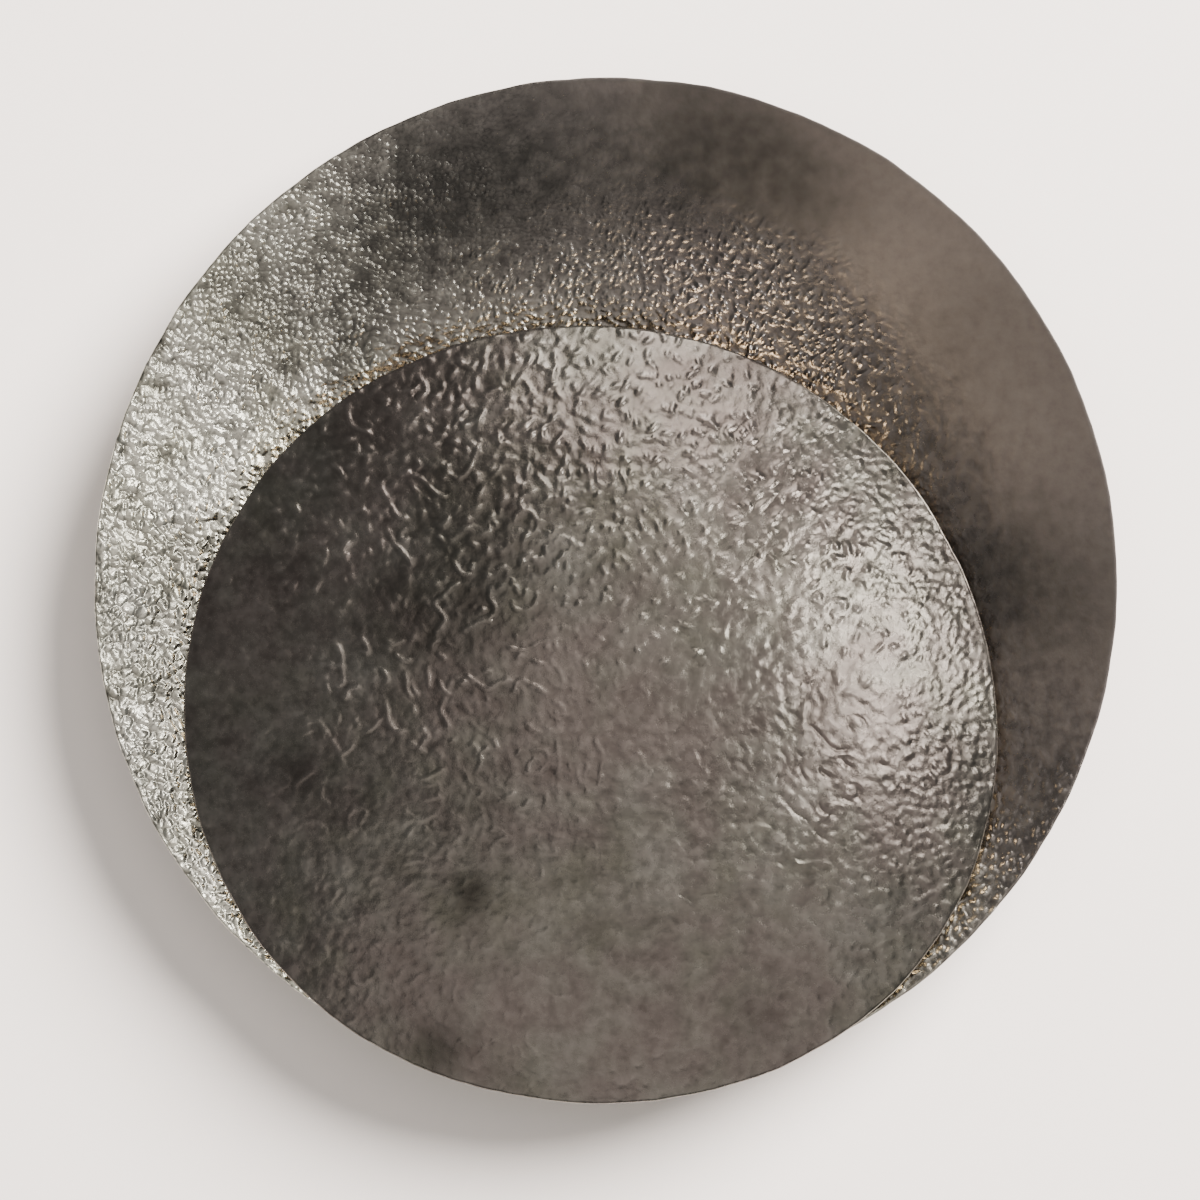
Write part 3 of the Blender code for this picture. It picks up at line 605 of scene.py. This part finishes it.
def hammeredBronze(name, plate):
    # Beaten bronze, silvered and then patinated: a soft broken gloss, dark in the hollows and brighter
    # on the worn tops, with grey, olive and brown areas, and darker blots that are partly painted shade.
    material, tree, shader = newMaterial(name)
    where = addNode(tree, "ShaderNodeTexCoord").outputs["Object"]
    marks = {}
    for label in ("height", "patch", "calm", "silver", "patina"):
        marks[label] = addNode(tree, "ShaderNodeAttribute", {"attribute_name": label}).outputs["Fac"]
    cloud = addNode(tree, "ShaderNodeTexNoise", {"Scale": 1000 / metalMarks["cloudMm"], "Detail": 6.0,
                                                 "Roughness": 0.62}, {"Vector": where})
    fine = addNode(tree, "ShaderNodeTexNoise", {"Scale": 1000 / metalMarks["pitMm"], "Detail": 4.0,
                                                "Roughness": 0.6}, {"Vector": where})
    mottle = addNode(tree, "ShaderNodeTexNoise", {"Scale": 1000 / metalMarks["mottleMm"], "Detail": 5.0,
                                                  "Roughness": 0.6}, {"Vector": where})
    worn = addNode(tree, "ShaderNodeMapRange", {"From Min": -0.2, "From Max": 0.8,
                                                "To Min": -0.25, "To Max": 0.45},
                   {"Value": marks["height"]})
    speckle = addNode(tree, "ShaderNodeMath", {"operation": "MULTIPLY_ADD", 1: 1.1},
                      {0: mottle.outputs["Fac"], 2: worn.outputs["Result"]})
    bright = addNode(tree, "ShaderNodeValToRGB",
                     {"stops": [(0.2, srgb(plate["hollow"])), (0.9, srgb(plate["worn"]))]},
                     {"Fac": speckle.outputs["Value"]})
    brown = addNode(tree, "ShaderNodeValToRGB",
                    {"stops": [(0.2, srgb(plate["brownHollow"])), (0.9, srgb(plate["brown"]))]},
                    {"Fac": speckle.outputs["Value"]})
    metal = addNode(tree, "ShaderNodeMix", {"data_type": "RGBA"},
                    {"Factor": marks["silver"], 6: brown.outputs["Color"], 7: bright.outputs["Color"]})
    soft = addNode(tree, "ShaderNodeMapRange", {"From Min": 0.36, "From Max": 0.64, "To Max": 0.7},
                   {"Value": cloud.outputs["Fac"]})
    cloudy = addNode(tree, "ShaderNodeMath", {"operation": "MULTIPLY"},
                     {0: soft.outputs["Result"], 1: marks["silver"]})
    tinted = addNode(tree, "ShaderNodeMix", {"data_type": "RGBA", "blend_type": "MULTIPLY",
                                             7: srgb(metalMarks["cloudTint"])},
                     {"Factor": cloudy.outputs["Value"], 6: metal.outputs[2]})
    # the dark patina colour: real patina in the hollows, and painted shade where the clouds lie
    settledAndShaded = addNode(tree, "ShaderNodeMix", {"data_type": "RGBA", 7: srgb(plate["patina"])},
                      {"Factor": marks["patina"], 6: tinted.outputs[2]})
    tree.links.new(settledAndShaded.outputs[2], shader.inputs["Base Color"])
    gloss = addNode(tree, "ShaderNodeMapRange", {"From Min": 0.25, "From Max": 0.75,
                                                 "To Min": plate["roughness"] - 0.06,
                                                 "To Max": plate["roughness"] + 0.10},
                    {"Value": mottle.outputs["Fac"]})
    duller = addNode(tree, "ShaderNodeMath", {"operation": "MULTIPLY_ADD", 1: 0.05},
                     {0: marks["patch"], 2: gloss.outputs["Result"]})
    rough = addNode(tree, "ShaderNodeMath", {"operation": "MULTIPLY_ADD", 1: plate["matte"]},
                    {0: marks["calm"], 2: duller.outputs["Value"]})
    tree.links.new(rough.outputs["Value"], shader.inputs["Roughness"])
    shader.inputs["Metallic"].default_value = 1.0
    pits = addNode(tree, "ShaderNodeBump", {"Strength": 0.3, "Distance": metalMarks["pitDepth"] * mm},
                   {"Height": fine.outputs["Fac"]})
    dents = addNode(tree, "ShaderNodeBump", {"Strength": 0.4, "Distance": metalMarks["mottleDepth"] * mm},
                    {"Height": mottle.outputs["Fac"], "Normal": pits.outputs["Normal"]})
    tree.links.new(dents.outputs["Normal"], shader.inputs["Normal"])
    return material


plainMarks = {
    "waverMm": 14.0,    # slow changes of colour
    "waver": 0.12,      # and how much lighter or darker they get
}


def plainFinish(name, colour, metallic, roughness, grainMm, depthMm):
    # The shared recipe for the plain parts: a colour that wavers a little, a roughness that follows
    # the same marks, and a shallow bump at the finish's own grain size.
    material, tree, shader = newMaterial(name)
    where = addNode(tree, "ShaderNodeTexCoord").outputs["Object"]
    grain = addNode(tree, "ShaderNodeTexNoise", {"Scale": 1000 / grainMm, "Detail": 4.0},
                    {"Vector": where})
    slow = addNode(tree, "ShaderNodeTexNoise", {"Scale": 1000 / plainMarks["waverMm"], "Detail": 3.0},
                   {"Vector": where})
    base = srgb(colour)
    darker = tuple(c * (1 - plainMarks["waver"]) for c in base[:3]) + (1.0,)
    lighter = tuple(min(1.0, c * (1 + plainMarks["waver"])) for c in base[:3]) + (1.0,)
    tone = addNode(tree, "ShaderNodeValToRGB", {"stops": [(0.3, darker), (0.7, lighter)]},
                   {"Fac": slow.outputs["Fac"]})
    tree.links.new(tone.outputs["Color"], shader.inputs["Base Color"])
    rough = addNode(tree, "ShaderNodeMapRange", {"From Min": 0.3, "From Max": 0.7,
                                                 "To Min": roughness - 0.05, "To Max": roughness + 0.08},
                    {"Value": grain.outputs["Fac"]})
    tree.links.new(rough.outputs["Result"], shader.inputs["Roughness"])
    shader.inputs["Metallic"].default_value = metallic
    bump = addNode(tree, "ShaderNodeBump", {"Strength": 0.4, "Distance": depthMm * mm},
                   {"Height": grain.outputs["Fac"]})
    tree.links.new(bump.outputs["Normal"], shader.inputs["Normal"])
    return material, shader


# For each slot: name, colour, metallic, roughness, grain size in mm and bump depth in mm. The grain
# of the metals is coarser than the real one, which is too fine to show.
finishes = {
    # sprayed and baked: a soft sheen over faint orange peel
    "dark_metal": ("darkEnamelledSteel", "3a3633", 0.0, 0.42, 0.9, 0.05),
    # electroplated: bright cool grey, a little frosted
    "zinc": ("zincPlatedSteel", "b4b5b2", 1.0, 0.34, 0.4, 0.02),
    # chemically blackened: near black, with a dull metal shine
    "black_steel": ("blackOxideSteel", "2a2a2b", 1.0, 0.42, 0.4, 0.02),
    # turned on a lathe: warm yellow, slightly dulled by handling
    "brass": ("turnedBrass", "c39a4e", 1.0, 0.28, 0.3, 0.02),
    # moulded: dull black with no clear highlight
    "rubber": ("blackRubber", "1c1c1c", 0.0, 0.68, 0.6, 0.04),
    # moulded: waxy off-white
    "nylon": ("whiteNylon", "e2ded2", 0.0, 0.42, 1.2, 0.03),
    # pressed and glazed: cream, glossy, with a slow ripple in the shine
    "ceramic": ("glazedSteatite", "e8e2d4", 0.0, 0.24, 2.5, 0.04),
    # extruded: matt cream, a little uneven
    "wire_sleeve": ("siliconeSleeve", "e4dfd2", 0.0, 0.5, 0.5, 0.05),
    # extruded: satin green
    "earth_wire": ("greenPvcWire", "4f8a2c", 0.0, 0.4, 0.8, 0.02),
}

lamps = {
    "colour": "ffeed6",     # warm white, about 2700 K to an eye used to it
    "edgeColour": "ffd9a6", # between the chips, and where the glass is denser
    "chipMm": 1.6,
    "unevenMm": 5.0,        # slow changes in the etched glass
    "glow": 70.0,
    "glassGlow": 70.0,
}


def lampCore():
    # The lamp's light source: small warm chips on a pale rod.
    material, shader = plainFinish("warmLampCore", "f0c070", 0.0, 0.4, 1.5, 0.1)
    tree = material.node_tree
    where = addNode(tree, "ShaderNodeTexCoord").outputs["Object"]
    rows = addNode(tree, "ShaderNodeTexVoronoi", {"Scale": 1000 / lamps["chipMm"], "Randomness": 0.15},
                   {"Vector": where})
    chips = addNode(tree, "ShaderNodeValToRGB",
                    {"stops": [(0.3, srgb(lamps["colour"])), (0.45, srgb(lamps["edgeColour"]))]},
                    {"Fac": rows.outputs["Distance"]})
    tree.links.new(chips.outputs["Color"], shader.inputs["Emission Color"])
    shader.inputs["Emission Strength"].default_value = lamps["glow"]
    return material


def lampGlass():
    # Etched glass: it hides the source and glows softly all over.
    material, shader = plainFinish("etchedLampGlass", "f6ead4", 0.0, 0.45, 0.5, 0.02)
    tree = material.node_tree
    where = addNode(tree, "ShaderNodeTexCoord").outputs["Object"]
    uneven = addNode(tree, "ShaderNodeTexNoise", {"Scale": 1000 / lamps["unevenMm"], "Detail": 2.0},
                     {"Vector": where})
    warmth = addNode(tree, "ShaderNodeValToRGB",
                     {"stops": [(0.35, srgb(lamps["edgeColour"])), (0.6, srgb(lamps["colour"]))]},
                     {"Fac": uneven.outputs["Fac"]})
    tree.links.new(warmth.outputs["Color"], shader.inputs["Emission Color"])
    shader.inputs["Emission Strength"].default_value = lamps["glassGlow"]
    return material


def finishNodes():
    made = {}
    for slotName, (name, colour, metallic, roughness, grainMm, depthMm) in finishes.items():
        made[slotName] = plainFinish(name, colour, metallic, roughness, grainMm, depthMm)[0]
    made["lamp_core"] = lampCore()
    made["frosted_glass"] = lampGlass()
    for entry in frame["record"]["subparts"]:
        node = frame["nodes"][entry["node"]]
        if entry["material_slot"] in made:
            node.data.materials.clear()
            node.data.materials.append(made[entry["material_slot"]])
    print("scene: finishes on the plain parts")


room = {
    "wallColour": "ece8e4",
    "wallSize": 6.0,        # metres
    "wallGap": 0.8,         # mm left behind the light
    "floorBelow": 1.1,
    "stippleMm": 7.14,      # the paint roller's marks, drawn coarser so that they show
    "stipple": 0.992,
    "worldColour": "b8b6b4",
    "worldStrength": 0.66,
}

# For each light: position, aim, width and height in metres, colour, power in watts, and what it
# lights, which is the room, the object or the large plate alone. keyBack adds sparkle to the large
# plate beside keyRight. The two spill lights stand for what the lamps throw on the large plate.
lights = {
    "wallKey": ((2.75, -3.3, 2.55), (0.0, 0.0, 0.0), (3.4, 3.4), "fff5ee", 1560.0, "room"),
    "wallFill": ((-0.6, -4.5, 0.4), (0.0, 0.0, 0.0), (4.5, 4.5), "fff3ec", 110.0, "room"),
    "keyRight": ((1.89, -3.77, 0.34), (0.0, 0.0, 0.0), (0.42, 1.35), "fffaf2", 50.0, "object"),
    "keyBack": ((1.9, -3.77, 0.3), (0.0, 0.0, 0.0), (0.3, 1.0), "fffaf2", 13.0, "largePlate"),
    "topSoft": ((0.45, -3.4, 1.95), (0.0, -0.05, 0.0), (1.3, 1.3), "fff6ee", 24.0, "object"),
    "frontFill": ((0.2, -5.0, 0.1), (0.0, 0.0, 0.0), (2.4, 2.4), "fff4ec", 12.5, "object"),
    "topGlint": ((0.65, -2.8, 2.8), (0.0, -0.05, 0.0), (0.8, 0.8), "fffaf4", 22.0, "object"),
    "lowSoft": ((0.25, -3.4, -2.0), (0.0, 0.0, 0.0), (3.6, 2.0), "fff4ec", 17.0, "object"),
    "edgeRight": ((2.4, -0.42, 1.5), (0.0, -0.05, 0.0), (1.5, 1.5), "fffaf2", 90.0, "object"),
    "lampSpill": ((0.045, -0.17, 0.045), (0.08, 0.0, 0.13), (0.04, 0.04), "ffe2b8", 0.115, "largePlate"),
    "lowSpill": ((0.07, -0.16, -0.08), (0.16, 0.0, -0.15), (0.04, 0.04), "ffdfb0", 0.045, "largePlate"),
}


def pale(name):
    # Matt pale paint, clear from behind so that the light can be looked at from its back.
    material, tree, shader = newMaterial(name)
    where = addNode(tree, "ShaderNodeTexCoord").outputs["Object"]
    grain = addNode(tree, "ShaderNodeTexNoise", {"Scale": 1000 / room["stippleMm"], "Detail": 3.0},
                    {"Vector": where})
    base = srgb(room["wallColour"])
    low = tuple(c * room["stipple"] for c in base[:3]) + (1.0,)
    tone = addNode(tree, "ShaderNodeValToRGB", {"stops": [(0.35, low), (0.65, base)]},
                   {"Fac": grain.outputs["Fac"]})
    tree.links.new(tone.outputs["Color"], shader.inputs["Base Color"])
    shader.inputs["Roughness"].default_value = 0.9
    clear = addNode(tree, "ShaderNodeBsdfTransparent")
    side = addNode(tree, "ShaderNodeNewGeometry")
    either = addNode(tree, "ShaderNodeMixShader", None,
                     {"Fac": side.outputs["Backfacing"], 1: shader.outputs["BSDF"],
                      2: clear.outputs["BSDF"]})
    output = [node for node in tree.nodes if node.type == "OUTPUT_MATERIAL"][0]
    tree.links.new(either.outputs["Shader"], output.inputs["Surface"])
    return material


def flat(name, corners, material):
    mesh = bpy.data.meshes.new(name)
    mesh.from_pydata(corners, [], [tuple(range(len(corners)))])
    mesh.materials.append(material)
    thing = bpy.data.objects.new(name, mesh)
    bpy.context.scene.collection.objects.link(thing)
    return thing


def buildRoom():
    paint = pale("palePaint")
    half = room["wallSize"] / 2
    low = -room["floorBelow"]
    back = room["wallGap"] * mm
    wall = flat("wall", [(half, back, low), (half, back, half), (-half, back, half),
                         (-half, back, low)], paint)
    wall.visible_shadow = False
    floor = flat("floor", [(-half, -room["wallSize"], low), (half, -room["wallSize"], low),
                           (half, back, low), (-half, back, low)], paint)
    floor.visible_glossy = False
    floor.visible_diffuse = False
    world = bpy.data.worlds.new("room")
    world.use_nodes = True
    background = world.node_tree.nodes["Background"]
    background.inputs["Color"].default_value = srgb(room["worldColour"])
    background.inputs["Strength"].default_value = room["worldStrength"]
    bpy.context.scene.world = world
    print("scene: wall and floor")
    return wall, floor


def newLot(name, things, leftOut=False):
    # What a light reaches, or what it leaves out.
    lot = bpy.data.collections.new(name)
    for thing in things:
        lot.objects.link(thing)
    if leftOut:
        for link in lot.collection_objects:
            link.light_linking.link_state = "EXCLUDE"
    return lot


def buildLights(wall, floor, backPiece, frontPiece):
    receivers = {
        "room": newLot("litRoom", (wall, floor)),
        "object": newLot("litObject", (wall, floor), leftOut=True),
        "largePlate": newLot("litBySpill", (backPiece,)),
    }
    passed = newLot("passedByLight", (frontPiece,), leftOut=True)
    for name, (place, aim, size, colour, power, what) in lights.items():
        data = bpy.data.lights.new(name, "AREA")
        data.shape = "ELLIPSE" if size[0] == size[1] else "RECTANGLE"
        data.size, data.size_y = size
        data.color = srgb(colour)[:3]
        data.energy = power
        lamp = bpy.data.objects.new(name, data)
        lamp.location = place
        lamp.rotation_euler = (Vector(aim) - Vector(place)).to_track_quat("-Z", "Y").to_euler()
        bpy.context.scene.collection.objects.link(lamp)
        lamp.light_linking.receiver_collection = receivers[what]
        # these pass the small plate, so it throws no hard shadow on the large one
        if what == "largePlate" or name == "keyRight":
            lamp.light_linking.blocker_collection = passed
    print("scene:", len(lights), "lights")


cameraSettings = {
    "frameWide": 0.54,      # metres across the view at the plates
    "distance": 3.0,
    "sensor": 36.0,
    "aim": (-0.0032, -0.06, -0.005),
}


def buildCamera():
    data = bpy.data.cameras.new("camera")
    data.sensor_width = cameraSettings["sensor"]
    data.lens = cameraSettings["sensor"] * cameraSettings["distance"] / cameraSettings["frameWide"]
    data.clip_end = 50.0
    camera = bpy.data.objects.new("camera", data)
    x, y, z = cameraSettings["aim"]
    camera.location = (x, y - cameraSettings["distance"], z)
    camera.rotation_euler = (math.radians(90), 0.0, 0.0)
    bpy.context.scene.collection.objects.link(camera)
    bpy.context.scene.camera = camera


buildCamera()
wallPiece, floorPiece = buildRoom()
finishNodes()

backPiece = buildPlate("hammered_back_plate", backPlate, backDish, backRelief, hiddenBehindFront)
pierce(backPiece, backPlate)
backPiece.data.materials.append(hammeredBronze("hammeredSilverBronze", backPlate))
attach(backPiece, "fixture")
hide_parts("back_plate")
print("scene: back plate,", len(backPiece.data.polygons), "faces")

frontPiece = buildPlate("hammered_front_plate", frontPlate, frontDome, frontRelief, None)
frontPiece.data.materials.append(hammeredBronze("hammeredTaupeBronze", frontPlate))
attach(frontPiece, "front_cover")
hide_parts("front_plate")
print("scene: front plate,", len(frontPiece.data.polygons), "faces")

buildLights(wallPiece, floorPiece, backPiece, frontPiece)
